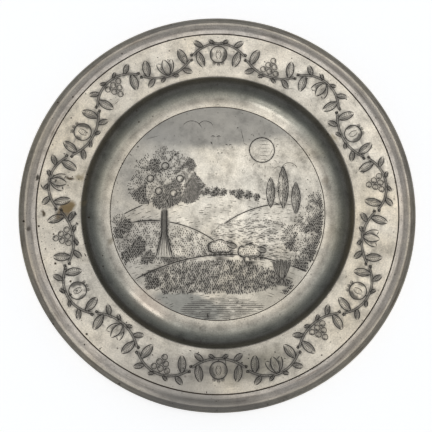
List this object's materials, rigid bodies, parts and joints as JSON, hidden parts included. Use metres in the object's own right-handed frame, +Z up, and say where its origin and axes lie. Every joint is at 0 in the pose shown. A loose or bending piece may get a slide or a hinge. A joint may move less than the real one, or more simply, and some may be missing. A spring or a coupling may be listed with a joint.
{
  "type": "seder plate",
  "caption": "Round cast pewter dish with a flat well, a curved wall, a broad engraved rim band and a turned moulding at its edge.",
  "frame": {"origin": "middle of the flat underside, on the surface that the dish stands on", "axes": "+Z up along the turning axis; +Y towards the top of the picture in the well; +X to its right"},
  "size_m": [0.33, 0.33, 0.0173],
  "materials": {
    "pewter": "aged, lathe-turned pewter, soft satin with tarnish patches",
    "line_fill": "dark brown wax and oxide in the turned lines, matt",
    "engraving_fill": "dark wax and oxide in the engraved cuts, matt"
  },
  "bodies": {
    "root": {"plate": "pewter", "rim_line_fill": "line_fill", "well_line_fill": "line_fill", "band_ornament_fill": "engraving_fill", "medallion_ornament_fill": "engraving_fill"}
  },
  "joints": []
}
